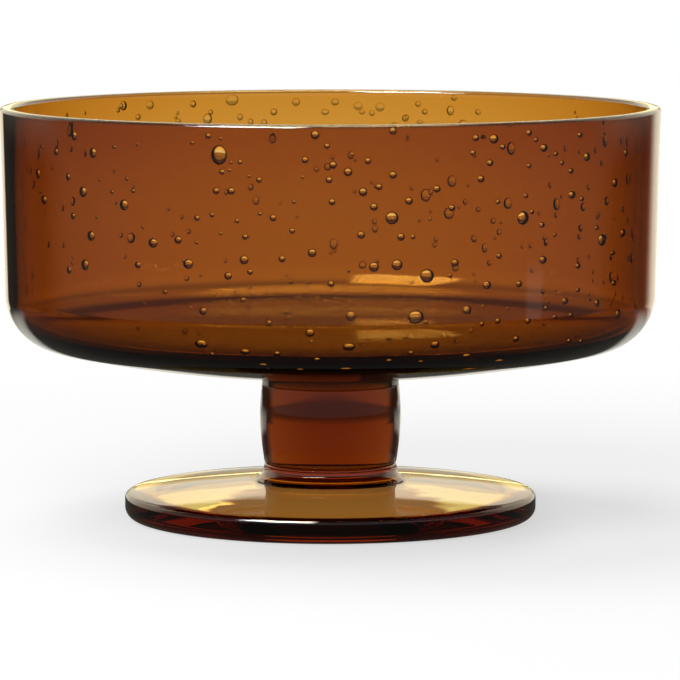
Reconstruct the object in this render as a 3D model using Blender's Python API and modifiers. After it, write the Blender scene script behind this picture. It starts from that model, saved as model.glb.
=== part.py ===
"""Footed dessert cup in amber glass: a straight-sided bowl, a short barrel stem and a round foot.

Metres, +Z up. The cup stands on z = 0 with its axis on Z.
"""

import math

import bpy

# Bowl sizes
RIM_DIAMETER = 0.1150
BOWL_HEIGHT = 0.0469
WALL_THICKNESS = 0.0021
RIM_THICKNESS = 0.0025
RIM_TAPER_LENGTH = 0.0220
WALL_DRAFT = math.radians(1.2)
RIM_EDGE_RADIUS = 0.0006
BOWL_CORNER_RADIUS = 0.0096
INSIDE_CORNER_RADIUS = 0.0060
BASE_THICKNESS = 0.0060
FLOOR_DISH_RADIUS = 0.620
UNDERSIDE_DOME_RADIUS = 0.236
NECK_DIAMETER = 0.0240
NECK_LENGTH = 0.0017

# Stem sizes
STEM_LENGTH = 0.0133
STEM_TOP_DIAMETER = 0.0241
STEM_BELLY_DIAMETER = 0.0246
STEM_BOTTOM_DIAMETER = 0.0232
STEM_EDGE_RADIUS = 0.0004

# Foot sizes
FOOT_DIAMETER = 0.0721
FOOT_EDGE_THICKNESS = 0.00455
FOOT_TOP_EDGE_RADIUS = 0.0011
FOOT_BASE_EDGE_RADIUS = 0.0020
FOOT_DOME_RADIUS = 0.262
RESTING_RING_WIDTH = 0.0030
FOOT_HOLLOW_DEPTH = 0.0030
BOSS_HEIGHT = 0.00292
BOSS_FLARE_RADIUS = 0.0026

# Space kept at each fused seam, so that the three solids never share a face
FUSED_SEAM = 0.0003

# A round takes at most this share of the thickness that it is cut from
LARGEST_ROUND = 0.45

# Smoothness of the turned shapes
TURN_STEPS = 64
CORNER_STEPS = 8
EDGE_STEPS = 4
DOME_STEPS = 6
BARREL_STEPS = 8
AXIS_MERGE = 0.00001
SHARP_ANGLE = math.radians(40)

# Amber of each piece as it shows: the longer the way through the glass, the deeper the colour
BOWL_COLOUR = (0.262, 0.061, 0.010, 1.0)
STEM_COLOUR = (0.138, 0.028, 0.006, 1.0)
FOOT_COLOUR = (0.640, 0.420, 0.160, 1.0)
GLASS_ROUGHNESS = 0.03
GLASS_TRANSMISSION = 1.0
GLASS_IOR = 1.5

# Heights and radii that follow from the sizes, from the foot upwards
foot_radius = FOOT_DIAMETER / 2
boss_radius = STEM_BOTTOM_DIAMETER / 2
top_round = min(FOOT_TOP_EDGE_RADIUS, LARGEST_ROUND * FOOT_EDGE_THICKNESS)
base_round = min(FOOT_BASE_EDGE_RADIUS, LARGEST_ROUND * FOOT_EDGE_THICKNESS)
hollow_radius = foot_radius - base_round - RESTING_RING_WIDTH
edge_centre = (foot_radius - top_round, FOOT_EDGE_THICKNESS - top_round)
dome_centre = edge_centre[1] - math.sqrt((FOOT_DOME_RADIUS - top_round) ** 2 - edge_centre[0] ** 2)
boss_top = dome_centre + math.sqrt(FOOT_DOME_RADIUS**2 - boss_radius**2) + BOSS_HEIGHT
stem_bottom = boss_top + FUSED_SEAM
stem_top = stem_bottom + STEM_LENGTH
neck_bottom = stem_top + FUSED_SEAM
underside_low = neck_bottom + NECK_LENGTH
floor_low = underside_low + BASE_THICKNESS
rim_top = underside_low + BOWL_HEIGHT


def arc(centre, radius, start, end, steps):
    """Points along an arc in the profile plane, both ends included."""
    points = []
    for step in range(steps + 1):
        angle = start + (end - start) * step / steps
        points.append((centre[0] + radius * math.cos(angle), centre[1] + radius * math.sin(angle)))
    return points


def corner_to_dome(wall_top, corner_radius, dome_radius, dome_low, dome_end):
    """Points from a drafted wall, round its corner and along a shallow dome, in to the radius dome_end.

    The corner's circle touches the wall's line, and it touches the dome from inside.
    """
    inward = (-math.cos(WALL_DRAFT), math.sin(WALL_DRAFT))
    down = (-math.sin(WALL_DRAFT), -math.cos(WALL_DRAFT))
    dome_centre = dome_low + dome_radius
    offset = (wall_top[0] + corner_radius * inward[0], wall_top[1] + corner_radius * inward[1] - dome_centre)
    along = offset[0] * down[0] + offset[1] * down[1]
    reach = dome_radius - corner_radius
    drop = -along + math.sqrt(along**2 - offset[0] ** 2 - offset[1] ** 2 + reach**2)
    centre = (offset[0] + drop * down[0], offset[1] + drop * down[1] + dome_centre)
    touch = math.atan2(centre[1] - dome_centre, centre[0])
    end = -math.acos(dome_end / dome_radius)
    corner = arc(centre, corner_radius, -WALL_DRAFT, touch, CORNER_STEPS)
    dome = arc((0.0, dome_centre), dome_radius, touch, end, DOME_STEPS)
    return corner + dome[1:]


def bowl_profile():
    """Half section of the bowl: from the floor's middle up the inside, over the rim and down the outside."""
    outer_radius = RIM_DIAMETER / 2
    inner_radius = outer_radius - WALL_THICKNESS / math.cos(WALL_DRAFT)
    mouth_radius = outer_radius - RIM_THICKNESS / math.cos(WALL_DRAFT)
    neck_radius = NECK_DIAMETER / 2
    lip = min(RIM_EDGE_RADIUS, LARGEST_ROUND * RIM_THICKNESS)
    inside = corner_to_dome((inner_radius, rim_top), INSIDE_CORNER_RADIUS, FLOOR_DISH_RADIUS, floor_low, 0.0)
    outside = corner_to_dome(
        (outer_radius, rim_top), BOWL_CORNER_RADIUS, UNDERSIDE_DOME_RADIUS, underside_low, neck_radius
    )
    points = list(reversed(inside))
    points.append((inner_radius - RIM_TAPER_LENGTH * math.tan(WALL_DRAFT), rim_top - RIM_TAPER_LENGTH))
    points += arc((mouth_radius + lip, rim_top - lip), lip, math.pi, math.pi / 2, EDGE_STEPS)
    points += arc((outer_radius - lip, rim_top - lip), lip, math.pi / 2, 0.0, EDGE_STEPS)
    points += outside
    points += [(neck_radius, neck_bottom), (0.0, neck_bottom)]
    return points


def stem_profile():
    """Half section of the stem: a barrel, widest halfway up, with a small round at each end."""
    top_radius = STEM_TOP_DIAMETER / 2
    bottom_radius = STEM_BOTTOM_DIAMETER / 2
    bulge = STEM_BELLY_DIAMETER / 2 - (top_radius + bottom_radius) / 2
    edge = min(STEM_EDGE_RADIUS, LARGEST_ROUND * STEM_LENGTH)
    side_length = STEM_LENGTH - 2 * edge
    points = [(0.0, stem_top)]
    points += arc((top_radius - edge, stem_top - edge), edge, math.pi / 2, 0.0, EDGE_STEPS)
    for step in range(1, BARREL_STEPS):
        share = step / BARREL_STEPS
        straight = top_radius + (bottom_radius - top_radius) * share
        points.append((straight + bulge * math.sin(math.pi * share), stem_top - edge - side_length * share))
    points += arc((bottom_radius - edge, stem_bottom + edge), edge, 0.0, -math.pi / 2, EDGE_STEPS)
    points.append((0.0, stem_bottom))
    return points


def foot_profile():
    """Half section of the foot: boss, flare, domed top, round edge, resting ring and hollow underside.

    The flare's circle touches the boss's side and, from outside, the dome. The edge's circle touches the dome
    from inside.
    """
    flare = min(BOSS_FLARE_RADIUS, BOSS_HEIGHT)
    flare_reach = boss_radius + flare
    flare_rise = math.sqrt((FOOT_DOME_RADIUS + flare) ** 2 - flare_reach**2)
    dome_start = math.atan2(flare_rise, flare_reach)
    dome_end = math.atan2(edge_centre[1] - dome_centre, edge_centre[0])
    hollow_sphere = (hollow_radius**2 + FOOT_HOLLOW_DEPTH**2) / (2 * FOOT_HOLLOW_DEPTH)
    hollow_centre = FOOT_HOLLOW_DEPTH - hollow_sphere
    hollow_start = math.atan2(-hollow_centre, hollow_radius)
    points = [(0.0, boss_top), (boss_radius, boss_top)]
    points += arc((flare_reach, dome_centre + flare_rise), flare, math.pi, math.pi + dome_start, EDGE_STEPS)
    points += arc((0.0, dome_centre), FOOT_DOME_RADIUS, dome_start, dome_end, DOME_STEPS)[1:]
    points += arc(edge_centre, top_round, dome_end, 0.0, EDGE_STEPS)[1:]
    points += arc((foot_radius - base_round, base_round), base_round, 0.0, -math.pi / 2, EDGE_STEPS)
    points += arc((0.0, hollow_centre), hollow_sphere, hollow_start, math.pi / 2, DOME_STEPS)
    return points


def amber_glass(name, colour):
    """Clear coloured glass with a polished face."""
    material = bpy.data.materials.new(name)
    material.use_nodes = True
    shader = material.node_tree.nodes["Principled BSDF"]
    shader.inputs["Base Color"].default_value = colour
    shader.inputs["Roughness"].default_value = GLASS_ROUGHNESS
    shader.inputs["Metallic"].default_value = 0.0
    shader.inputs["Transmission Weight"].default_value = GLASS_TRANSMISSION
    shader.inputs["IOR"].default_value = GLASS_IOR
    material.diffuse_color = colour
    return material


def turned(name, profile, material, collection):
    """A solid turned from its half section by a Screw modifier, then shaded smooth between its sharp edges."""
    edges = [(index, index + 1) for index in range(len(profile) - 1)]
    section = bpy.data.meshes.new(name + "_section")
    section.from_pydata([(radius, 0.0, height) for radius, height in profile], edges, [])
    solid = bpy.data.objects.new(name, section)
    collection.objects.link(solid)
    screw = solid.modifiers.new("turn", "SCREW")
    screw.axis = "Z"
    screw.angle = 2 * math.pi
    screw.steps = TURN_STEPS
    screw.render_steps = TURN_STEPS
    screw.use_merge_vertices = True
    screw.merge_threshold = AXIS_MERGE
    bpy.context.view_layer.update()
    evaluated = solid.evaluated_get(bpy.context.evaluated_depsgraph_get())
    mesh = bpy.data.meshes.new_from_object(evaluated)
    mesh.name = name
    solid.modifiers.clear()
    solid.data = mesh
    bpy.data.meshes.remove(section)
    mesh.materials.append(material)
    mesh.shade_smooth()
    mesh.set_sharp_from_angle(angle=SHARP_ANGLE)
    return solid


def build():
    """Clears the scene and turns the three pieces of the cup."""
    for leftover in list(bpy.data.objects):
        bpy.data.objects.remove(leftover)
    cup = bpy.data.collections.new("dessert_cup")
    bpy.context.scene.collection.children.link(cup)
    turned("bowl", bowl_profile(), amber_glass("bowl_glass", BOWL_COLOUR), cup)
    turned("stem", stem_profile(), amber_glass("stem_glass", STEM_COLOUR), cup)
    turned("foot", foot_profile(), amber_glass("foot_glass", FOOT_COLOUR), cup)
    print(f"cup {RIM_DIAMETER * 1000:.1f} mm across, {rim_top * 1000:.2f} mm high, floor at {floor_low * 1000:.2f} mm")


build()
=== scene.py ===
# %% [markdown]
# # A dessert cup in amber seeded glass
#
# The cup is thick amber glass, worked hot by hand: a straight-sided bowl full of small air bubbles, a
# short solid stem and a round foot, stuck together while they were soft. This lesson models the three
# gathers of glass, puts the bubbles into the bowl, gives the glass its colour by depth and lights it like
# a product on a white table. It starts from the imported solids, which fix every size, so they are loaded
# first.

import math
import random

import bpy
from mathutils import Matrix, Vector


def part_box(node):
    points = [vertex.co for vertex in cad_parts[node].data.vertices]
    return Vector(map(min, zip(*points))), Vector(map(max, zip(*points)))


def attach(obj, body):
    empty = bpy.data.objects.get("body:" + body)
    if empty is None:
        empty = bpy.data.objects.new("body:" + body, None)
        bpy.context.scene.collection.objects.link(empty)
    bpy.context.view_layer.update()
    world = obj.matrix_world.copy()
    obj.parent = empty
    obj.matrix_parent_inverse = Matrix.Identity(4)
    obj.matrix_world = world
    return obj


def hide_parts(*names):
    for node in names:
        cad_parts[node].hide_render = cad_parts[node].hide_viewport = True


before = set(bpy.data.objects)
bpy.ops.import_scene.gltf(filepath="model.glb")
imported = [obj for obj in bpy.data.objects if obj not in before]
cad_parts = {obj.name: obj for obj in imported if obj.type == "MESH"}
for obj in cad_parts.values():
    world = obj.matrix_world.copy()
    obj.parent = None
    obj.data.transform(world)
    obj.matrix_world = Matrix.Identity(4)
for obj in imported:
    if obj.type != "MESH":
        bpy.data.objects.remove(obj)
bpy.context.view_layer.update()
bpy.ops.object.select_all(action="DESELECT")

# %% [markdown]
# ## The camera
#
# The cup is seen almost level, from a long way off: its rim is a flat ellipse and its sides do not
# converge. A long lens on a camera that stands 0.83 m away and looks down by 6 degrees gives the same
# ellipses. These values were fitted to the cup's outline. The focal length is first written in pixels of
# the picture, and then turned into millimetres on the sensor.

# %% Place the camera
PICTURE_WIDTH = 680
FOCAL_LENGTH_PIXELS = 4785
SENSOR_WIDTH_MM = 36.0
CAMERA_PLACE = Vector((0.00169, -0.83375, 0.11776))
CAMERA_PITCH = 0.1036
NEAREST_SEEN = 0.01

bpy.ops.object.camera_add(location=CAMERA_PLACE, rotation=(math.pi / 2 - CAMERA_PITCH, 0, 0))
camera = bpy.context.object
camera.name = "camera"
camera.data.sensor_width = SENSOR_WIDTH_MM
camera.data.lens = FOCAL_LENGTH_PIXELS / PICTURE_WIDTH * SENSOR_WIDTH_MM
camera.data.clip_start = NEAREST_SEEN
bpy.context.scene.camera = camera
print("lens", round(camera.data.lens, 1), "mm")

# %% [markdown]
# ## Sizes
#
# Outer sizes and heights come from the boxes of the solids, so the looks can never drift from them. What
# a box cannot tell, such as the wall's thickness or the round of a corner, is written here once, in
# metres.

# %% Sizes of the three gathers
WALL = 0.0021
RIM_WALL = 0.0025
RIM_TAPER = 0.022
WALL_DRAFT = math.radians(1.2)
LIP_ROUND = 0.0006
OUTER_CORNER = 0.0096
INNER_CORNER = 0.0060
BASE_THICKNESS = 0.0060
FLOOR_DISH = 0.620
UNDERSIDE_DOME = 0.236
NECK_LENGTH = 0.0017
NECK_RADIUS = 0.0120
STEM_TOP_RADIUS = 0.01205
BOSS_RADIUS = 0.0116
FOOT_EDGE = 0.00455
FOOT_DOME = 0.262

bowl_low, bowl_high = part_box("bowl")
stem_low, stem_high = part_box("stem")
foot_low, foot_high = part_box("foot")
rim_radius = bowl_high.x
rim_top = bowl_high.z
underside_low = bowl_low.z + NECK_LENGTH
floor_low = underside_low + BASE_THICKNESS
print("rim radius", round(rim_radius, 5), "inner floor at", round(floor_low, 5))

# %% [markdown]
# ## Drawing and turning
#
# Blown glass is round because it spins while it is soft, so each gather is a turned shape. A Screw
# modifier would do it too, but the spin tool shows the idea best: draw half of the cut-through shape as a
# line of edges, then spin the line once round the axis. The line starts as a plane that is merged to a
# single point, and every next point is extruded from the last. Spinning leaves a double row where it
# closes, so doubles are merged, and then the normals are turned outwards.

# %% Helpers to draw a half section and turn it
TURN_STEPS = 256
DOUBLES = 0.000004
SHARP_EDGE = math.radians(35)
PENCIL = 0.001


def arc(centre, radius, start, end, steps):
    """Points along an arc in the plane of the half section, as (radius, height), both ends included."""
    points = []
    for step in range(steps + 1):
        angle = start + (end - start) / steps * step
        points.append(Vector((centre[0] + radius * math.cos(angle), centre[1] + radius * math.sin(angle))))
    return points


def draw_half_section(name, points):
    """Extrudes a line of edges through the points, from the first to the last, in the XZ plane."""
    bpy.ops.object.select_all(action="DESELECT")
    bpy.ops.mesh.primitive_plane_add(size=PENCIL)
    section = bpy.context.object
    section.name = section.data.name = name
    bpy.ops.object.mode_set(mode="EDIT")
    bpy.ops.mesh.merge(type="CENTER")
    bpy.ops.transform.translate(value=(points[0].x, 0, points[0].y))
    for before, after in zip(points, points[1:]):
        step = after - before
        bpy.ops.mesh.extrude_region_move(TRANSFORM_OT_translate={"value": (step.x, 0, step.y)})
    return section


def turn(section):
    """Spins the drawn line once round Z, closes it and shades it smooth between its sharp edges."""
    bpy.ops.mesh.select_all(action="SELECT")
    bpy.ops.mesh.spin(steps=TURN_STEPS, angle=2 * math.pi, center=(0, 0, 0), axis=(0, 0, 1))
    bpy.ops.mesh.select_all(action="SELECT")
    bpy.ops.mesh.remove_doubles(threshold=DOUBLES)
    bpy.ops.mesh.normals_make_consistent(inside=False)
    bpy.ops.object.mode_set(mode="OBJECT")
    bpy.ops.object.shade_smooth_by_angle(angle=SHARP_EDGE)
    print(section.name, len(section.data.polygons), "faces")


# %% [markdown]
# ## The bowl
#
# The bowl has a straight wall with a little draft, a round corner, a flat-looking floor that is really a
# very shallow dish, and a thick base that sags to a dome underneath. Wall, corner and dome flow into each
# other with no crease, so the corner's circle has to touch both the wall's line and the dome's circle.
# The helper finds that circle once, and serves for the inside and the outside.

# %% Half section of the bowl
CORNER_STEPS = 24
DOME_STEPS = 24
LIP_STEPS = 8
TAPER_STEPS = 12


def wall_corner_dome(wall_top, corner, dome, dome_low, dome_end):
    """Points down the wall's end, round the corner and along the dome, in to the radius dome_end."""
    inward = Vector((-math.cos(WALL_DRAFT), math.sin(WALL_DRAFT)))
    down = Vector((-math.sin(WALL_DRAFT), -math.cos(WALL_DRAFT)))
    dome_centre = Vector((0, dome_low + dome))
    start = wall_top + corner * inward - dome_centre
    along = start.dot(down)
    drop = math.sqrt(along**2 - start.length_squared + (dome - corner) ** 2) - along
    corner_centre = start + drop * down + dome_centre
    touch = math.atan2(corner_centre.y - dome_centre.y, corner_centre.x)
    end = -math.acos(dome_end / dome)
    round_part = arc(corner_centre, corner, -WALL_DRAFT, touch, CORNER_STEPS)
    return round_part + arc(dome_centre, dome, touch, end, DOME_STEPS)[1:]


inner_radius = rim_radius - WALL / math.cos(WALL_DRAFT)
inside = wall_corner_dome(Vector((inner_radius, rim_top)), INNER_CORNER, FLOOR_DISH, floor_low, 0.0)
outside = wall_corner_dome(
    Vector((rim_radius, rim_top)), OUTER_CORNER, UNDERSIDE_DOME, underside_low, NECK_RADIUS
)
lip_height = rim_top - LIP_ROUND
rim_inside = rim_radius - RIM_WALL
taper = []
for step in range(TAPER_STEPS + 1):
    drop = RIM_TAPER * (1 - step / TAPER_STEPS)
    ease = (1 - math.cos(math.pi * step / TAPER_STEPS)) / 2
    plain_radius = inner_radius - (drop + LIP_ROUND) * math.tan(WALL_DRAFT)
    taper.append(Vector((plain_radius + (rim_inside - plain_radius) * ease, lip_height - drop)))
inner_lip = arc((rim_inside + LIP_ROUND, lip_height), LIP_ROUND, math.pi, math.pi / 2, LIP_STEPS)[1:]
outer_lip = arc((rim_radius - LIP_ROUND, lip_height), LIP_ROUND, math.pi / 2, 0, LIP_STEPS)
pad_height = outside[-1].y
bowl_outline = inside[::-1] + taper + inner_lip + outer_lip + outside + [Vector((0, pad_height))]
print("bowl outline of", len(bowl_outline), "points")

# %% Turn the bowl
bowl = draw_half_section("bowl_body", bowl_outline)
turn(bowl)

# %% [markdown]
# The neck under the bowl is what is left of the stem's hot glass above the weld line. It is part of the
# bowl, but it has the stem's lighter amber, so it is turned as a closed shell of its own and joined to
# the bowl at the end. A hair of space stays between the two: glass bodies that share a face would
# flicker. The hair is made invisible later, in the glass itself.

# %% Turn the neck
HAIR = 0.00002
NECK_EDGE = 0.0001
SMALL_ROUND_STEPS = 4

neck_top = pad_height - HAIR
neck_edge = (NECK_RADIUS - NECK_EDGE, bowl_low.z + NECK_EDGE)
neck_outline = [Vector((0, neck_top)), Vector((NECK_RADIUS, neck_top))]
neck_outline += arc(neck_edge, NECK_EDGE, 0, -math.pi / 2, SMALL_ROUND_STEPS)
neck_outline.append(Vector((0, bowl_low.z)))
neck = draw_half_section("neck", neck_outline)
turn(neck)

# %% [markdown]
# ## The stem
#
# A small gather of glass, pressed between bowl and foot, bulges a little like a barrel. Its ends fill the
# seams that the solids leave open, up to a hair. The rounded ends leave the fine grooves of the two weld
# lines.

# %% Draw and turn the stem
STEM_TOP_ROUND = 0.00015
STEM_ROUND = 0.0004
STEM_STEPS = 40

stem_top = bowl_low.z - HAIR
stem_bottom = foot_high.z + HAIR
stem_side = stem_top - stem_bottom - STEM_TOP_ROUND - STEM_ROUND
stem_bulge = stem_high.x - (STEM_TOP_RADIUS + BOSS_RADIUS) / 2
stem_outline = [Vector((0, stem_top))]
stem_shoulder = (STEM_TOP_RADIUS - STEM_TOP_ROUND, stem_top - STEM_TOP_ROUND)
stem_outline += arc(stem_shoulder, STEM_TOP_ROUND, math.pi / 2, 0, LIP_STEPS)
for step in range(1, STEM_STEPS):
    share = step / STEM_STEPS
    straight = STEM_TOP_RADIUS + (BOSS_RADIUS - STEM_TOP_RADIUS) * share
    side_radius = straight + stem_bulge * math.sin(math.pi * share)
    stem_outline.append(Vector((side_radius, stem_top - STEM_TOP_ROUND - stem_side * share)))
stem_ankle = (BOSS_RADIUS - STEM_ROUND, stem_bottom + STEM_ROUND)
stem_outline += arc(stem_ankle, STEM_ROUND, 0, -math.pi / 2, LIP_STEPS)
stem_outline.append(Vector((0, stem_bottom)))
stem = draw_half_section("stem_body", stem_outline)
turn(stem)

# %% [markdown]
# ## The foot
#
# The foot is a thick disc whose top is a very flat dome, with a short boss in its middle under the weld
# line. Its edge is rounded, more below than above, and its underside is slightly hollow, so the cup rests
# on a narrow ring and does not rock. The hollow is a very flat sphere: it also lets the light of the
# table come up through the glass.

# %% Draw and turn the foot
FOOT_TOP_ROUND = 0.0011
FOOT_BASE_ROUND = 0.0020
RESTING_RING = 0.0030
HOLLOW_DEPTH = 0.0030
FLARE = 0.0026
BOSS_ROUND = 0.0003
FLARE_STEPS = 20
EDGE_STEPS = 12

foot_radius = foot_high.x
boss_top = foot_high.z
edge_centre = Vector((foot_radius - FOOT_TOP_ROUND, FOOT_EDGE - FOOT_TOP_ROUND))
dome_centre = edge_centre.y - math.sqrt((FOOT_DOME - FOOT_TOP_ROUND) ** 2 - edge_centre.x**2)
edge_start = math.atan2(edge_centre.y - dome_centre, edge_centre.x)
flare_radius = BOSS_RADIUS + FLARE
flare_centre = Vector((flare_radius, dome_centre + math.sqrt((FOOT_DOME + FLARE) ** 2 - flare_radius**2)))
dome_start = math.atan2(flare_centre.y - dome_centre, flare_radius)
hollow_radius = foot_radius - FOOT_BASE_ROUND - RESTING_RING
hollow_sphere = (hollow_radius**2 + HOLLOW_DEPTH**2) / (2 * HOLLOW_DEPTH)
hollow_centre = HOLLOW_DEPTH - hollow_sphere
foot_outline = [Vector((0, boss_top))]
boss_edge = (BOSS_RADIUS - BOSS_ROUND, boss_top - BOSS_ROUND)
foot_outline += arc(boss_edge, BOSS_ROUND, math.pi / 2, 0, SMALL_ROUND_STEPS)
foot_outline += arc(flare_centre, FLARE, math.pi, math.pi + dome_start, FLARE_STEPS)
foot_outline += arc((0, dome_centre), FOOT_DOME, dome_start, edge_start, DOME_STEPS)[1:-1]
foot_outline += arc(edge_centre, FOOT_TOP_ROUND, edge_start, 0, EDGE_STEPS)
base_edge = (foot_radius - FOOT_BASE_ROUND, FOOT_BASE_ROUND)
foot_outline += arc(base_edge, FOOT_BASE_ROUND, 0, -math.pi / 2, EDGE_STEPS)
hollow_start = math.atan2(-hollow_centre, hollow_radius)
foot_outline += arc((0, hollow_centre), hollow_sphere, hollow_start, math.pi / 2, DOME_STEPS)
foot = draw_half_section("foot_body", foot_outline)
turn(foot)

# %% [markdown]
# ## Fused faces
#
# Where two gathers were stuck together hot, the glass runs through: there is no surface left to bend or
# mirror light. The three pieces stay separate here, so the faces that meet at a weld are marked with a
# number of their own, and the glass reads it. They are found by their height and by being level.

# %% Mark the fused faces
LEVEL = 0.999
SAME_HEIGHT = 0.000005


def mark_fused(piece, heights):
    """Writes 1 on the level faces at these heights, and 0 on all others, into the face attribute fused."""
    fused = piece.data.attributes.new("fused", "FLOAT", "FACE")
    marked = 0
    for face in piece.data.polygons:
        level = abs(face.normal.z) > LEVEL
        if level and any(abs(face.center.z - height) < SAME_HEIGHT for height in heights):
            fused.data[face.index].value = 1.0
            marked += 1
    print(piece.name, marked, "fused faces")


mark_fused(bowl, [pad_height])
mark_fused(neck, [neck_top, bowl_low.z])
mark_fused(stem, [stem_top, stem_bottom])
mark_fused(foot, [boss_top])

# %% [markdown]
# ## Bubbles in the glass
#
# Seeded glass holds bubbles of air, from a pinhead to nearly the wall's thickness. Each is a little
# closed hollow whose faces look into it, away from the glass, joined into the bowl's own mesh: then the
# light bends at its skin as it does in the real thing. One bubble is modelled and copied. It has few
# faces, because there are hundreds, and the large ones, whose outline shows, get one subdivision more.

# %% Model the small and the large bubble
SMALL_SUBDIVISIONS = 2
LARGE_SUBDIVISIONS = 3


def model_bubble(name, subdivisions):
    """A hollow of diameter 1, with its faces turned inwards."""
    bpy.ops.object.select_all(action="DESELECT")
    bpy.ops.mesh.primitive_ico_sphere_add(subdivisions=subdivisions, radius=0.5)
    bubble = bpy.context.object
    bubble.name = name
    bpy.ops.object.mode_set(mode="EDIT")
    bpy.ops.mesh.flip_normals()
    bpy.ops.object.mode_set(mode="OBJECT")
    bpy.ops.object.shade_smooth()
    return bubble


small_bubble = model_bubble("small_bubble", SMALL_SUBDIVISIONS)
large_bubble = model_bubble("large_bubble", LARGE_SUBDIVISIONS)
print("faces of a bubble:", len(small_bubble.data.polygons), "or", len(large_bubble.data.polygons))

# %% [markdown]
# The bubbles that show were read off the picture, as the place and the width of each in pixels,
# and the tall ones with their height as well. A ray goes from the camera through that pixel to the glass,
# bends as light does on entering it, and the bubble is set in the middle of the wall there. Glass is
# stretched while it is blown, so a bubble is never thicker than a good half of the wall that holds it.

# %% Place a bubble under the surface
GLASS_INDEX = 1.5
THICKEST_BUBBLE = 0.60 * WALL
BUBBLE_FLATNESS = 0.48
SLANT_KEPT = 0.35
LARGE_BUBBLE = 0.0015
bubbles = []


def view_ray(column, row):
    """Direction from the camera through a pixel of the picture."""
    across = (column - PICTURE_WIDTH / 2) / FOCAL_LENGTH_PIXELS
    down = (row - PICTURE_WIDTH / 2) / FOCAL_LENGTH_PIXELS
    return (camera.rotation_euler.to_matrix() @ Vector((across, -down, -1))).normalized()


def bent_into_glass(direction, normal):
    """Direction of a ray after it enters the glass."""
    facing = -direction.dot(normal)
    ratio = 1 / GLASS_INDEX
    return ratio * direction + (ratio * facing - math.sqrt(1 - ratio**2 * (1 - facing**2))) * normal


def add_bubble(place, normal, width, height, flatness=BUBBLE_FLATNESS):
    """A flattened copy of the bubble: width round the cup, height along the surface, thickness into it."""
    sideways = Vector((0, 0, 1)).cross(normal).normalized()
    along = normal.cross(sideways)
    thickness = min(flatness * (width + height) / 2, THICKEST_BUBBLE)
    model = large_bubble if max(width, height) > LARGE_BUBBLE else small_bubble
    bubble = model.copy()
    bubble.data = model.data.copy()
    axes = Matrix((sideways * width, along * height, normal * thickness)).transposed()
    bubble.matrix_world = Matrix.Translation(place) @ axes.to_4x4()
    bpy.context.collection.objects.link(bubble)
    bubbles.append(bubble)


def bubble_in_view(column, row, width, height=None, flatness=BUBBLE_FLATNESS):
    """Sets a bubble in the glass that the camera sees first at this pixel."""
    ray = view_ray(column, row)
    hit, place, normal, _ = bowl.ray_cast(CAMERA_PLACE, ray)
    if not hit:
        return
    into = bent_into_glass(ray, normal)
    place = place + into * (WALL / 2 / -into.dot(normal))
    pixel = (place - CAMERA_PLACE).length / FOCAL_LENGTH_PIXELS
    facing = -ray.dot(normal)
    narrowed = (facing + SLANT_KEPT) / (1 + SLANT_KEPT)
    add_bubble(place, normal, width / narrowed * pixel, (height or width) * pixel, flatness)


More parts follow.
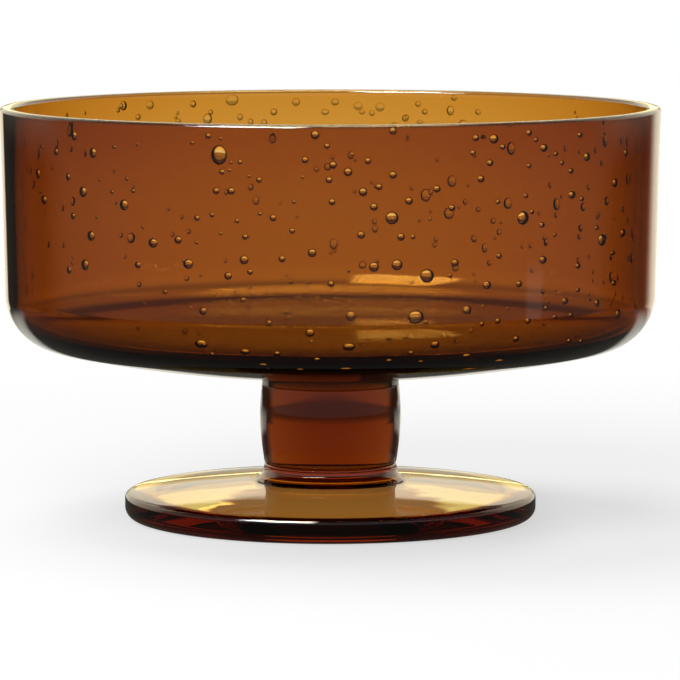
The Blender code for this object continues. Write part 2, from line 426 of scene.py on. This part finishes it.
# %% The bubbles that the picture shows
SEEDS_SEEN = [
    (219, 155, 16, 20), (222, 172, 6), (208, 136, 6), (315, 135, 9), (327, 146, 6), (305, 160, 7),
    (333, 165, 8), (329, 180, 7), (332, 202, 7), (259, 180, 6), (216, 191, 7), (231, 191, 7.5),
    (74, 136, 6, 10), (93, 153, 7, 11), (56, 152, 5, 8), (42, 147, 4), (38, 174, 5, 10), (68, 177, 5, 8),
    (83, 192, 8, 11), (44, 200, 6, 9), (124, 205, 9, 11), (127, 179, 4), (133, 191, 4.5), (112, 192, 4),
    (73, 216, 5, 7), (91, 236, 8, 10), (153, 243, 9.5), (178, 240, 8), (197, 218, 6), (212, 215, 5),
    (237, 221, 5), (273, 218, 7), (260, 214, 4), (292, 231, 6), (245, 237, 6), (312, 253, 9),
    (294, 202, 4), (192, 143, 4), (240, 162, 5), (114, 147, 4), (393, 131, 8), (348, 172, 9),
    (368, 161, 7), (393, 175, 8), (379, 187, 7), (363, 192, 9), (409, 201, 8), (374, 207, 8),
    (392, 218, 13), (437, 189, 7.5), (452, 208, 7), (476, 138, 7), (494, 139, 9.5), (503, 147, 6),
    (473, 153, 6), (490, 163, 7), (481, 179, 7.5), (529, 133, 6.5), (544, 148, 8), (536, 140, 5),
    (556, 154, 5), (562, 163, 5), (571, 171, 6), (587, 157, 7, 9), (580, 135, 6), (529, 166, 5),
    (523, 218, 12, 14), (532, 212, 5), (542, 225, 6), (572, 195, 8), (582, 199, 5), (498, 202, 5),
    (526, 196, 5), (602, 240, 9, 12), (623, 233, 6, 8), (597, 228, 5), (615, 183, 6, 9), (613, 253, 5),
    (626, 153, 5, 8), (401, 237, 8), (413, 237, 5), (361, 235, 8), (555, 235, 4), (499, 256, 6),
    (85, 265, 8, 11), (69, 270, 5, 8), (138, 265, 7), (188, 264, 10), (244, 260, 9), (282, 259, 7),
    (250, 272, 6), (228, 276, 8), (165, 292, 5), (331, 284, 7), (243, 300, 6), (203, 311, 8),
    (222, 313, 4), (269, 323, 6), (286, 312, 5), (310, 333, 9, 8), (201, 344, 11, 9), (245, 352, 8, 7),
    (277, 354, 6), (263, 365, 6, 4), (317, 360, 6), (300, 370, 5), (212, 354, 4), (298, 298, 4),
    (317, 298, 4), (335, 299, 4), (374, 267, 10), (397, 265, 11), (427, 276, 14), (455, 263, 8),
    (450, 276, 5), (487, 285, 8.5), (519, 284, 7), (416, 317, 16, 14), (426, 322, 5), (351, 316, 10),
    (467, 310, 9), (498, 321, 6), (482, 324, 5), (528, 321, 6), (516, 339, 6), (435, 345, 8),
    (389, 338, 6), (405, 337, 5), (349, 347, 11, 8), (389, 361, 5), (411, 353, 5), (421, 362, 4),
    (467, 356, 7, 5), (500, 361, 7, 5), (470, 369, 8, 4), (346, 369, 7, 4), (543, 260, 8), (578, 266, 6),
    (565, 301, 7), (597, 303, 6, 8), (578, 290, 5), (546, 308, 5), (555, 317, 5), (571, 315, 5),
    (618, 314, 6, 9), (614, 283, 6), (569, 341, 5), (581, 341, 4),
]
SEEDS_OVER_RIM = [
    (232, 100, 13, 11), (150, 105, 8, 9), (121, 106, 5, 6), (138, 117, 6, 6), (178, 121, 6, 5),
    (240, 117, 6, 7), (296, 102, 8, 8), (335, 102, 8, 7), (325, 112, 8, 6), (358, 106, 9, 8),
    (372, 113, 6, 6), (380, 107, 9, 9), (362, 112, 6, 5), (418, 104, 6, 6), (454, 98, 6, 6),
    (478, 112, 6, 6), (420, 122, 7, 4),
]
FAR_FLATNESS = 0.18
for seed in SEEDS_SEEN:
    bubble_in_view(*seed)
for seed in SEEDS_OVER_RIM:
    bubble_in_view(*seed, FAR_FLATNESS)
print(len(bubbles), "bubbles placed from the picture")

# %% [markdown]
# The rest of the wall has the same bubbles, only nobody has counted them: they are scattered from a fixed
# seed, so that every run gives the same cup. Most are small, a few are large. The part of the wall that
# faces the camera is already full, and gets only pinheads.

# %% Scatter bubbles through the rest of the wall
SCATTER_SEED = 7
SCATTERED = 210
PINHEADS = 60
SMALLEST_BUBBLE = 0.0006
USUAL_BUBBLE = 0.0010
BIGGEST_BUBBLE = 0.0020
SCATTERED_FLATNESS = 0.34
LEAST_STRETCH, MOST_STRETCH = 0.9, 1.3
FRONT_HALF_ANGLE = math.radians(88)
scatter = random.Random(SCATTER_SEED)


def bubble_in_wall(angle, height, width, stretch):
    """Sets a bubble in the middle of the straight wall, at an angle from the front and a height."""
    outward = Vector((math.sin(angle), -math.cos(angle), 0))
    normal = outward * math.cos(WALL_DRAFT) - Vector((0, 0, math.sin(WALL_DRAFT)))
    radius = rim_radius - (rim_top - height) * math.tan(WALL_DRAFT) - WALL / 2
    place = outward * radius + Vector((0, 0, height))
    add_bubble(place, normal, width, width * stretch, SCATTERED_FLATNESS)


wall_foot = underside_low + OUTER_CORNER
for _ in range(SCATTERED):
    angle = scatter.uniform(FRONT_HALF_ANGLE, 2 * math.pi - FRONT_HALF_ANGLE)
    height = scatter.uniform(wall_foot, rim_top - WALL)
    width = min(BIGGEST_BUBBLE, SMALLEST_BUBBLE + scatter.expovariate(1 / (USUAL_BUBBLE - SMALLEST_BUBBLE)))
    bubble_in_wall(angle, height, width, scatter.uniform(LEAST_STRETCH, MOST_STRETCH))
for _ in range(PINHEADS):
    angle = scatter.uniform(-FRONT_HALF_ANGLE, FRONT_HALF_ANGLE)
    bubble_in_wall(angle, scatter.uniform(wall_foot, rim_top - WALL), SMALLEST_BUBBLE, 1.0)
print(len(bubbles), "bubbles in all")

# %% Join the bubbles into the bowl
bpy.data.objects.remove(small_bubble)
bpy.data.objects.remove(large_bubble)
bpy.ops.object.select_all(action="DESELECT")
for bubble in bubbles:
    bubble.select_set(True)
bowl.select_set(True)
bpy.context.view_layer.objects.active = bowl
bpy.ops.object.join()
print("bowl with bubbles:", len(bowl.data.polygons), "faces")

# %% [markdown]
# ## Amber glass
#
# Amber glass is coloured all through: a thin wall is honey, a thick base is dark brown. So the colour is
# not on the surface. The Principled shader is clear glass, and a Volume Absorption inside takes away blue
# quickly, green slower and red slowest, for every metre of way. Bowl, stem and foot come from different
# gathers and each has its own strength, which was found by trying until the picture's browns came out.
# The marked fused faces get an index of 1, which is the same as no surface.

# %% A helper for the kinds of glass
RIPPLE_DETAIL = 1.5
DENSITY_MARGIN = 1.001


def feed(tree, socket, value):
    """Links the socket if the value is a socket too, and sets it otherwise."""
    if isinstance(value, bpy.types.NodeSocket):
        tree.links.new(value, socket)
    else:
        socket.default_value = value


def node(tree, kind, **sockets):
    """Adds a node and feeds its inputs by name, with _ for a space."""
    added = tree.nodes.new(kind)
    for name, value in sockets.items():
        feed(tree, added.inputs[name.replace("_", " ")], value)
    return added


def amber_glass(name, taken, ripple_size, ripple_depth):
    """Clear polished glass with slow ripples, which takes so much red, green and blue for each metre."""
    glass = bpy.data.materials.new(name)
    glass.use_nodes = True
    tree = glass.node_tree
    tree.nodes.clear()
    place = node(tree, "ShaderNodeTexCoord").outputs["Object"]
    ripples = node(tree, "ShaderNodeTexNoise", Vector=place, Scale=1 / ripple_size, Detail=RIPPLE_DETAIL)
    bump = node(tree, "ShaderNodeBump", Height=ripples.outputs[0], Distance=ripple_depth)
    fused = node(tree, "ShaderNodeAttribute")
    fused.attribute_name = "fused"
    index = node(tree, "ShaderNodeMapRange", Value=fused.outputs["Fac"], To_Min=GLASS_INDEX, To_Max=1.0)
    shader = node(
        tree,
        "ShaderNodeBsdfPrincipled",
        Base_Color=(1, 1, 1, 1),
        Roughness=0.0,
        Transmission_Weight=1.0,
        IOR=index.outputs[0],
        Normal=bump.outputs[0],
    )
    density = DENSITY_MARGIN * max(taken)
    kept = [1 - colour / density for colour in taken]
    depth = node(tree, "ShaderNodeVolumeAbsorption", Color=(*kept, 1), Density=density)
    node(tree, "ShaderNodeOutputMaterial", Surface=shader.outputs[0], Volume=depth.outputs[0])
    return glass


# %% The glass of each gather
BOWL_TAKES = (327, 665, 1560)
STEM_TAKES = (95, 185, 310)
NECK_TAKES = (148, 212, 320)
FOOT_TAKES = (36, 86, 300)
WIDE_RIPPLE = 0.018
CLOSE_RIPPLE = 0.010
RIPPLE_DEPTH = 0.00002
FOOT_RIPPLE_DEPTH = 0.00004

bowl.data.materials.clear()
bowl.data.materials.append(amber_glass("bowl_glass", BOWL_TAKES, WIDE_RIPPLE, RIPPLE_DEPTH))
stem.data.materials.append(amber_glass("stem_glass", STEM_TAKES, CLOSE_RIPPLE, RIPPLE_DEPTH))
neck.data.materials.append(amber_glass("neck_glass", NECK_TAKES, CLOSE_RIPPLE, RIPPLE_DEPTH))
foot.data.materials.append(amber_glass("foot_glass", FOOT_TAKES, CLOSE_RIPPLE, FOOT_RIPPLE_DEPTH))
print(len(bpy.data.materials), "materials in the file")

# %% Join the neck to the bowl
bpy.ops.object.select_all(action="DESELECT")
neck.select_set(True)
bowl.select_set(True)
bpy.context.view_layer.objects.active = bowl
bpy.ops.object.join()
print("bowl has", len(bowl.material_slots), "kinds of glass")

# %% [markdown]
# ## Tie the looks to the solids
#
# Each gather rides on the cup's one body and stands for its solid, which is hidden.

# %% Ride and replace
for piece, solid in ((bowl, "bowl"), (stem, "stem"), (foot, "foot")):
    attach(piece, "root")
    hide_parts(solid)
    print(piece.name, "stands for", solid)

# %% [markdown]
# ## The white table
#
# A product picture of glass stands on a white sweep, here a plain disc. Glass shows a table in many ways
# at once, and a real studio tunes them with cards and flags. The Light Path node does that work here: it
# tells how a ray came to the floor, and the floor answers each kind with its own brightness. That is a
# studio trick and not physics, so it was tuned for the one view of the picture.

# %% Helpers to shade by place and by angle
def calc(tree, operation, first, second=0.0, clamp=False):
    """A Math node on two values or sockets."""
    added = tree.nodes.new("ShaderNodeMath")
    added.operation = operation
    added.use_clamp = clamp
    for socket, value in zip(added.inputs, (first, second)):
        feed(tree, socket, value)
    return added.outputs[0]


def times(tree, first, *others):
    """The product of values or sockets."""
    for other in others:
        first = calc(tree, "MULTIPLY", first, other)
    return first


def ramp(tree, value, start, end):
    """0 below start and 1 above end, with a soft step between."""
    step = node(tree, "ShaderNodeMapRange", Value=value, From_Min=start, From_Max=end)
    step.interpolation_type = "SMOOTHSTEP"
    return step.outputs[0]


def fall(tree, value, start, end):
    """1 below start and 0 above end, with a soft step between."""
    return calc(tree, "SUBTRACT", 1.0, ramp(tree, value, start, end))


def climb(tree, angle, start, end):
    """A ramp over an angle, with its ends in degrees."""
    return ramp(tree, angle, math.radians(start), math.radians(end))


def sector(tree, angle, left, right, left_soft, right_soft):
    """1 between two angles in degrees, soft at both ends."""
    rising = climb(tree, angle, left - left_soft, left + left_soft)
    falling = climb(tree, angle, right - right_soft, right + right_soft)
    return times(tree, rising, calc(tree, "SUBTRACT", 1.0, falling))


def mix(tree, share, low, high):
    """low where share is 0, high where it is 1."""
    kept = times(tree, calc(tree, "SUBTRACT", 1.0, share), low)
    return calc(tree, "ADD", kept, times(tree, share, high))


def level_distance(tree, east, north):
    """Distance from the axis, measured level."""
    return calc(tree, "SQRT", calc(tree, "ADD", times(tree, east, east), times(tree, north, north)))


def lay_over(tree, share, below, above):
    """A shader that is below where share is 0 and above where it is 1."""
    both = node(tree, "ShaderNodeMixShader", Fac=share)
    tree.links.new(below.outputs[0], both.inputs[1])
    tree.links.new(above.outputs[0], both.inputs[2])
    return both


# %% Floor
FLOOR_RADIUS = 0.26
FLOOR_SIDES = 128
FLOOR_DROP = 0.0001

bpy.ops.mesh.primitive_circle_add(
    vertices=FLOOR_SIDES, radius=FLOOR_RADIUS, fill_type="NGON", location=(0, 0, -FLOOR_DROP)
)
floor = bpy.context.object
floor.name = "floor"
bpy.ops.object.transform_apply(location=True)
table = bpy.data.materials.new("white_table")
table.use_nodes = True
tree = table.node_tree
tree.nodes.clear()
rays = node(tree, "ShaderNodeLightPath").outputs
spot = node(tree, "ShaderNodeTexCoord").outputs["Object"]
east, north, _ = node(tree, "ShaderNodeSeparateXYZ", Vector=spot).outputs
bearing = calc(tree, "ARCTAN2", east, north)
reach = level_distance(tree, east, north)
print("floor radius", FLOOR_RADIUS)

# %% [markdown]
# Mirror images of the floor come first. Behind the cup and beside it they are nearly white and draw the
# bright edge along the bowl's corner. In front they are dim, because they would lay a milky veil over the
# amber.

# %% The floor that the glass mirrors
FLOOR_DIM, FLOOR_BRIGHT = 0.08, 0.88
BEHIND = (-30, 38, 2, 6)
BEHIND_FADE = (0.12, 0.22)
BESIDE = (-54, 54, 4, 4)
RING_INSIDE = (0.085, 0.115)
RING_OUTSIDE = (0.13, 0.25)

behind = times(tree, sector(tree, bearing, *BEHIND), ramp(tree, reach, *BEHIND_FADE))
ring = times(tree, ramp(tree, reach, *RING_INSIDE), fall(tree, reach, *RING_OUTSIDE))
beside = times(tree, sector(tree, bearing, *BESIDE), ring)
mirrored = mix(tree, calc(tree, "MAXIMUM", behind, beside), FLOOR_DIM, FLOOR_BRIGHT)

# %% [markdown]
# Seen through the foot, the floor is bright, apart from a painted shadow of the stem: a darker wedge that
# widens from the stem towards the front. Noise makes its border ragged, and a painted caustic, a bright
# fleck of light, lies along its left side.

# %% The floor under the foot
FLOOR_UNDER_FOOT = 1.35
FLOOR_IN_STEM_SHADOW = 0.45
STEM_SHADOW_POINT = 0.077
STEM_SHADOW_SPREAD = 0.21
STEM_SHADOW_SOFT = 0.002
STEM_SHADOW_BACK = (0.022, 0.032)
RAGGED_SCALE = 180.0
RAGGED_DETAIL = 1.0
RAGGED_WIDTH = 0.008
NOISE_MIDDLE = 0.5
CAUSTIC_LIGHT = 2.0
CAUSTIC_WIDTH = (0.0004, 0.0016)
CAUSTIC_FRONT = (-0.026, -0.022)
CAUSTIC_BACK = (-0.014, -0.010)

# The wedge is a painted shadow of the stem: the floor is darker in a strip that widens towards the front.
half_width = times(tree, calc(tree, "SUBTRACT", STEM_SHADOW_POINT, north), STEM_SHADOW_SPREAD)
aside = calc(tree, "SUBTRACT", calc(tree, "ABSOLUTE", east), half_width)
ragged = node(tree, "ShaderNodeTexNoise", Vector=spot, Scale=RAGGED_SCALE, Detail=RAGGED_DETAIL).outputs[0]
aside = calc(tree, "ADD", aside, times(tree, calc(tree, "SUBTRACT", ragged, NOISE_MIDDLE), RAGGED_WIDTH))
painted_stem_shadow = times(tree, fall(tree, aside, -STEM_SHADOW_SOFT, STEM_SHADOW_SOFT), fall(tree, north, *STEM_SHADOW_BACK))
# The fleck is a painted caustic: extra light on the floor along the left border of the painted shadow.
painted_caustic = fall(tree, calc(tree, "ABSOLUTE", aside), *CAUSTIC_WIDTH)
painted_caustic = times(tree, painted_caustic, ramp(tree, north, *CAUSTIC_FRONT), fall(tree, north, *CAUSTIC_BACK))
painted_caustic = times(tree, painted_caustic, calc(tree, "LESS_THAN", east, 0.0))
under = mix(tree, painted_stem_shadow, FLOOR_UNDER_FOOT, FLOOR_IN_STEM_SHADOW)
under = calc(tree, "ADD", under, times(tree, painted_caustic, CAUSTIC_LIGHT))

# %% [markdown]
# Further out, the floor is seen through one thickness of glass (the stem or the foot) or through two
# walls of the bowl. Each wall counts two in the Transmission Depth, one for each face. Light that was
# turned inside the glass on its way has a Glossy Depth, and finds the floor dim except at the back right.

# %% The floor behind one wall and behind two
ONE_WALL_DEPTH = 2.5
FLOOR_IN_SHADE = 0.45
FLOOR_TURNED = 0.15
FLOOR_TURNED_BACK = 0.8
UNDER_TURNED = 0.05
NEAR_FOOT, NEAR_STEM, NEAR_BOWL = 0.55, 1.15, 1.05
FAR_ONE_WALL, FAR_TWO_WALLS = 1.3, 1.8
SECOND_WALL = 0.50
FOOT_TO_STEM = (0.095, 0.110)
STEM_TO_SHADE = (0.118, 0.125)
BOWL_TO_SHADE = (0.090, 0.140)
SHADE_TO_FAR = (0.150, 0.200)
SIDES = (42, 72, 6, 6)
FOOT_END = (0.040, 0.060)
TURNED_BACK = (-14, 58, 1.5, 6)
TURNED_FROM = (0.05, 0.08)
TURNED_FOOT_END = (0.036, 0.044)

two_walls = calc(tree, "GREATER_THAN", rays["Transmission Depth"], ONE_WALL_DEPTH)
near_one = mix(tree, ramp(tree, reach, *FOOT_TO_STEM), NEAR_FOOT, NEAR_STEM)
near_one = mix(tree, ramp(tree, reach, *STEM_TO_SHADE), near_one, FLOOR_IN_SHADE)
near_two = mix(tree, ramp(tree, reach, *BOWL_TO_SHADE), NEAR_BOWL, FLOOR_IN_SHADE)
shade = mix(tree, two_walls, near_one, near_two)
far = mix(tree, two_walls, FAR_ONE_WALL, FAR_TWO_WALLS)
shade = mix(tree, ramp(tree, reach, *SHADE_TO_FAR), shade, far)
shade = mix(tree, sector(tree, calc(tree, "ABSOLUTE", bearing), *SIDES), shade, FLOOR_TURNED)
shade = mix(tree, two_walls, shade, times(tree, shade, SECOND_WALL))
straight = mix(tree, ramp(tree, reach, *FOOT_END), under, shade)
turned_back = times(tree, sector(tree, bearing, *TURNED_BACK), ramp(tree, reach, *TURNED_FROM))
turned = mix(tree, turned_back, FLOOR_TURNED, FLOOR_TURNED_BACK)
turned = mix(tree, ramp(tree, reach, *TURNED_FOOT_END), times(tree, under, UNDER_TURNED), turned)
was_turned = calc(tree, "MULTIPLY", rays["Glossy Depth"], 1.0, clamp=True)
passed = mix(tree, was_turned, straight, turned)

# %% [markdown]
# Last, the camera's own view. Near the cup the floor is partly lit from itself and partly a real white
# surface under the lamps, so the cup's soft shadow shows without the table going grey. A little painted
# shade, a dimmer glow, lies where the foot touches it. Further out it fades to plain white.

# %% The floor that the camera sees
FLOOR_GLOW = 0.69
FLOOR_WHITE = 0.40
FLOOR_FADE = (0.13, 0.25)
AMBER_SHADOW = (1.0, 0.56, 0.32, 1.0)
MIRRORED_GREEN, MIRRORED_BLUE = 0.96, 0.84
CONTACT_SHADE = 0.86
CONTACT_SHADE_REACH = (0.038, 0.068)
CONTACT_SHADE_LEFT = (-0.045, 0.010)
CONTACT_SHADE_RIGHT = (0.028, 0.046)

level = mix(tree, rays["Is Transmission Ray"], mirrored, passed)
level = mix(tree, rays["Is Camera Ray"], level, 1.0)
untinted = calc(tree, "MAXIMUM", rays["Is Camera Ray"], rays["Is Transmission Ray"])
green = mix(tree, untinted, MIRRORED_GREEN, 1.0)
blue = mix(tree, untinted, MIRRORED_BLUE, 1.0)
tint = node(tree, "ShaderNodeCombineColor", Red=1.0, Green=green, Blue=blue)
clear = node(tree, "ShaderNodeEmission", Color=tint.outputs[0], Strength=level)
# The amber emission paints the stem's shadow under the foot in the colour of light that came through glass.
amber = node(tree, "ShaderNodeEmission", Color=AMBER_SHADOW, Strength=level)
in_painted_stem_shadow = times(tree, painted_stem_shadow, fall(tree, reach, *FOOT_END), rays["Is Transmission Ray"])
white = lay_over(tree, in_painted_stem_shadow, clear, amber)
# The contact term is painted shade: it dims the floor's glow in a band round the foot.
painted_contact_shade = times(tree, fall(tree, reach, *CONTACT_SHADE_REACH), ramp(tree, east, *CONTACT_SHADE_LEFT))
painted_contact_shade = times(tree, painted_contact_shade, fall(tree, east, *CONTACT_SHADE_RIGHT))
glow_level = mix(tree, painted_contact_shade, FLOOR_GLOW, CONTACT_SHADE * FLOOR_GLOW)
glow = node(tree, "ShaderNodeEmission", Color=(1, 1, 1, 1), Strength=glow_level)
surface = node(tree, "ShaderNodeBsdfDiffuse", Color=(FLOOR_WHITE, FLOOR_WHITE, FLOOR_WHITE, 1))
shaded = node(tree, "ShaderNodeAddShader")
tree.links.new(glow.outputs[0], shaded.inputs[0])
tree.links.new(surface.outputs[0], shaded.inputs[1])
near_camera_view = times(tree, fall(tree, reach, *FLOOR_FADE), rays["Is Camera Ray"])
blend = lay_over(tree, near_camera_view, white, shaded)
node(tree, "ShaderNodeOutputMaterial", Surface=blend.outputs[0])
floor.data.materials.append(table)
print("table of", len(tree.nodes), "nodes")

# %% [markdown]
# ## Softboxes
#
# Two square softboxes, one at the front left and one high behind, cast the cup's soft shadow on the
# table. The glass does not show them: its highlights are soft patches in the world, which are easier to
# place.

# %% Two softboxes
SOFTBOX_DISTANCE = 0.9
SOFTBOX_SIZE = 0.50
AIM = Vector((0, 0, 0.035))


def softbox(name, azimuth, elevation, radiance):
    """An area lamp aimed at the cup, turned from the front to the right and lifted above the table."""
    swing, lift = math.radians(azimuth), math.radians(elevation)
    away = Vector((math.sin(swing) * math.cos(lift), -math.cos(swing) * math.cos(lift), math.sin(lift)))
    facing = (-away).to_track_quat("-Z", "Y").to_euler()
    bpy.ops.object.light_add(type="AREA", location=AIM + away * SOFTBOX_DISTANCE, rotation=facing)
    lamp = bpy.context.object
    lamp.name = name
    lamp.data.shape = "RECTANGLE"
    lamp.data.size = lamp.data.size_y = SOFTBOX_SIZE
    lamp.data.energy = radiance * math.pi * SOFTBOX_SIZE**2
    lamp.visible_glossy = lamp.visible_transmission = False
    print(name, "power", round(lamp.data.energy, 2), "W")


softbox("front_softbox", azimuth=-20, elevation=42, radiance=4.8)
softbox("top_softbox", azimuth=-138, elevation=67, radiance=4.4)

# %% [markdown]
# ## The studio round the cup
#
# Glass shows its surroundings, so the world is part of the object's look. It is tuned by the kind of ray,
# as the floor is. It is kept out of the sampling of lamps, so that its bright patches show in the glass
# and do not light the table.

# %% World
world = bpy.data.worlds.new("studio")
bpy.context.scene.world = world
world.use_nodes = True
world.cycles.sampling_method = "NONE"
sky = world.node_tree
sky.nodes.clear()
look = node(sky, "ShaderNodeTexCoord").outputs["Generated"]
east, north, up = node(sky, "ShaderNodeSeparateXYZ", Vector=look).outputs
bearing = calc(sky, "ARCTAN2", east, north)
height = calc(sky, "ARCTAN2", up, level_distance(sky, east, north))
rays = node(sky, "ShaderNodeLightPath").outputs

# %% [markdown]
# Light that ran straight through the glass meets a white backdrop, which is dimmer low down and dark far
# to the sides. Upwards it meets the dim front of the room, and a bright white where it has passed a
# bubble or a second wall. Light that was turned round inside the glass comes from the dark parts of the
# studio and draws the dark outline.

# %% What light sees that has passed the glass
BUBBLE_DEPTH = 3.5
LEFT_SOFT, RIGHT_SOFT = 1.5, 6
TURNED_LEFT, TURNED_RIGHT = -14, 32
TURNED_ROOM, TURNED_WHITE = 0.03, 1.4
TURNED_UP, TURNED_TOP = 1.0, 0.5
TURNED_UP_FROM = (2, 6)
TURNED_TOP_FROM = (13, 19)
FRONT_ROOM, SIDE_ROOM = 0.24, 0.05
OVER_RIM = 1.5
OVER_RIM_FROM = (8, 16)
BEHIND_TWO_WALLS, BEHIND_ONE_WALL = 1.25, 1.35
LOW_WHITE = 0.70
LOW_WHITE_TO = (-8.5, -6.2)
DARK_SIDES = (52, 72, 8, 6)

turned_back = sector(sky, bearing, TURNED_LEFT, TURNED_RIGHT, LEFT_SOFT, RIGHT_SOFT)
turned = mix(sky, turned_back, TURNED_ROOM, TURNED_WHITE)
turned_high = climb(sky, height, *TURNED_TOP_FROM)
turned_up = mix(sky, turned_high, TURNED_UP, TURNED_TOP)
turned = mix(sky, climb(sky, height, *TURNED_UP_FROM), turned, turned_up)
by_bubble = calc(sky, "GREATER_THAN", rays["Transmission Depth"], BUBBLE_DEPTH)
over_rim = mix(sky, by_bubble, FRONT_ROOM, OVER_RIM)
upward = climb(sky, height, *OVER_RIM_FROM)
one_wall = calc(sky, "LESS_THAN", rays["Transmission Depth"], ONE_WALL_DEPTH)
level_white = mix(sky, one_wall, BEHIND_TWO_WALLS, BEHIND_ONE_WALL)
level_white = mix(sky, climb(sky, height, *LOW_WHITE_TO), LOW_WHITE, level_white)
level_white = mix(sky, sector(sky, calc(sky, "ABSOLUTE", bearing), *DARK_SIDES), level_white, SIDE_ROOM)
straight = mix(sky, upward, level_white, over_rim)
was_turned = calc(sky, "MULTIPLY", rays["Glossy Depth"], 1.0, clamp=True)
through = mix(sky, was_turned, straight, turned)

# %% [markdown]
# The polished skin mirrors a bright backdrop, a dim room in front and at the sides, and a strong ceiling.
# A dark card behind the cup browns the front of the foot's top, and a dimmer horizon keeps the foot's
# back border soft. Four patches stand for lamps: left and right bearing, lowest and highest angle and
# softness, all in degrees, then the light. A mirror image of a mirror image is weaker.

# %% What the glass mirrors
MIRROR_WHITE = 1.36
MIRROR_SIDES = (-70, 70, 10, 10)
LOW_BACK_LEFT, LOW_BACK_RIGHT = -20, 28
LOW_BACK_TO = (-3, 2)
FRONT_LOW, FRONT_HIGH = 0.26, 0.6
FRONT_STEP = (4.5, 6.5)
FRONT_DIMS = (15, 25)
CARD, HORIZON = 0.12, 0.6
CARD_HEIGHT = (16.4, 25.0, 0.8, 2.0)
HORIZON_HEIGHT = (-3.0, 5.2, 1.0, 1.6)
CARD_WIDTH = (-12, 12, 2, 2)
SECOND_MIRROR_DEPTH = 1.5
SECOND_MIRROR, SECOND_LAMP = 0.3, 0.4
CEILING = 8.0
CEILING_FROM = (58, 72)
MIRRORED_LAMPS = (
    (-168, -126, 29, 58, 5, 46),
    (-6, 6, 3.0, 3.7, 0.2, 2.4),
    (97, 104, 63, 69, 1.5, 14),
    (101, 108, -14, -6.6, 0.8, 0.36),
)

wide_back = sector(sky, bearing, *MIRROR_SIDES)
low_back = sector(sky, bearing, LOW_BACK_LEFT, LOW_BACK_RIGHT, LEFT_SOFT, RIGHT_SOFT)
front = mix(sky, climb(sky, height, *FRONT_STEP), FRONT_LOW, FRONT_HIGH)
front = mix(sky, climb(sky, height, *FRONT_DIMS), front, FRONT_ROOM)
dim = mix(sky, wide_back, front, SIDE_ROOM)
bright = mix(sky, climb(sky, height, *LOW_BACK_TO), low_back, wide_back)
mirror = mix(sky, bright, dim, MIRROR_WHITE)
card_width = sector(sky, bearing, *CARD_WIDTH)
card = times(sky, sector(sky, height, *CARD_HEIGHT), card_width)
mirror = mix(sky, card, mirror, CARD)
horizon = times(sky, sector(sky, height, *HORIZON_HEIGHT), card_width)
mirror = mix(sky, horizon, mirror, HORIZON)
twice = calc(sky, "GREATER_THAN", rays["Glossy Depth"], SECOND_MIRROR_DEPTH)
mirror = mix(sky, twice, mirror, times(sky, mirror, SECOND_MIRROR))
mirror = calc(sky, "ADD", mirror, times(sky, climb(sky, height, *CEILING_FROM), CEILING))
for left, right, low, high, soft, light in MIRRORED_LAMPS:
    across = sector(sky, bearing, left, right, soft, soft)
    patch = times(sky, across, sector(sky, height, low, high, soft, soft))
    lamp = mix(sky, twice, light, SECOND_LAMP * light)
    mirror = calc(sky, "ADD", mirror, times(sky, patch, lamp))

# %% [markdown]
# Each ray then gets its share, with a tint: mirror images of the back half are cream, those along the rim
# and from high up are gold, as is the light over the rim, and light that was turned upwards inside the
# glass glows like embers. The camera itself sees plain white.

# %% Which of them a ray gets
AMBIENT = 0.12
CREAM = (1.0, 0.89, 0.68, 1.0)
GOLD = (1.0, 0.80, 0.40, 1.0)
EMBER = (1.0, 0.36, 0.10, 1.0)
BACK_HALF = (-90, 90, 15, 15)
RIM_HEIGHT = (1.2, 6.2, 0.6, 0.6)
RIM_WIDTH = (-8, 8, 1, 1)
GOLD_FROM = (40, 55)

seen = mix(sky, rays["Is Transmission Ray"], mirror, through)
seen = mix(sky, rays["Is Diffuse Ray"], seen, AMBIENT)
seen = mix(sky, rays["Is Camera Ray"], seen, 1.0)
plain = node(sky, "ShaderNodeBackground", Color=(1, 1, 1, 1), Strength=seen)
cream = node(sky, "ShaderNodeBackground", Color=CREAM, Strength=seen)
gold = node(sky, "ShaderNodeBackground", Color=GOLD, Strength=seen)
ember = node(sky, "ShaderNodeBackground", Color=EMBER, Strength=seen)
not_passed = calc(sky, "SUBTRACT", 1.0, rays["Is Transmission Ray"])
mirror_ray = times(sky, rays["Is Glossy Ray"], not_passed)
cream_ray = times(sky, mirror_ray, sector(sky, bearing, *BACK_HALF))
by_rim = times(sky, sector(sky, height, *RIM_HEIGHT), sector(sky, bearing, *RIM_WIDTH))
by_rim = calc(sky, "ADD", by_rim, climb(sky, height, *GOLD_FROM))
gold_ray = times(sky, rays["Is Transmission Ray"], times(sky, upward, by_bubble))
gold_ray = calc(sky, "ADD", gold_ray, times(sky, mirror_ray, by_rim))
turned_upwards = times(sky, rays["Glossy Depth"], turned_high)
ember_ray = calc(sky, "MULTIPLY", rays["Is Transmission Ray"], turned_upwards, clamp=True)
studio = lay_over(sky, cream_ray, plain, cream)
studio = lay_over(sky, gold_ray, studio, gold)
studio = lay_over(sky, ember_ray, studio, ember)
node(sky, "ShaderNodeOutputWorld", Surface=studio.outputs[0])
print("studio of", len(sky.nodes), "nodes")

# %% [markdown]
# ## Rendering glass
#
# Light passes up to four walls with two faces each, and bounces inside the base, so it needs more bounces
# than usual before it may stop. Light that the glass would throw on the table is left out: it is noisy,
# and the table in the picture has a neutral grey shadow.

# %% View and bounces
MOST_BOUNCES = 32
MIRROR_BOUNCES = 16

scene = bpy.context.scene
scene.view_settings.view_transform = "Standard"
scene.cycles.max_bounces = MOST_BOUNCES
scene.cycles.transmission_bounces = MOST_BOUNCES
scene.cycles.glossy_bounces = MIRROR_BOUNCES
scene.cycles.caustics_refractive = False
scene.cycles.caustics_reflective = False
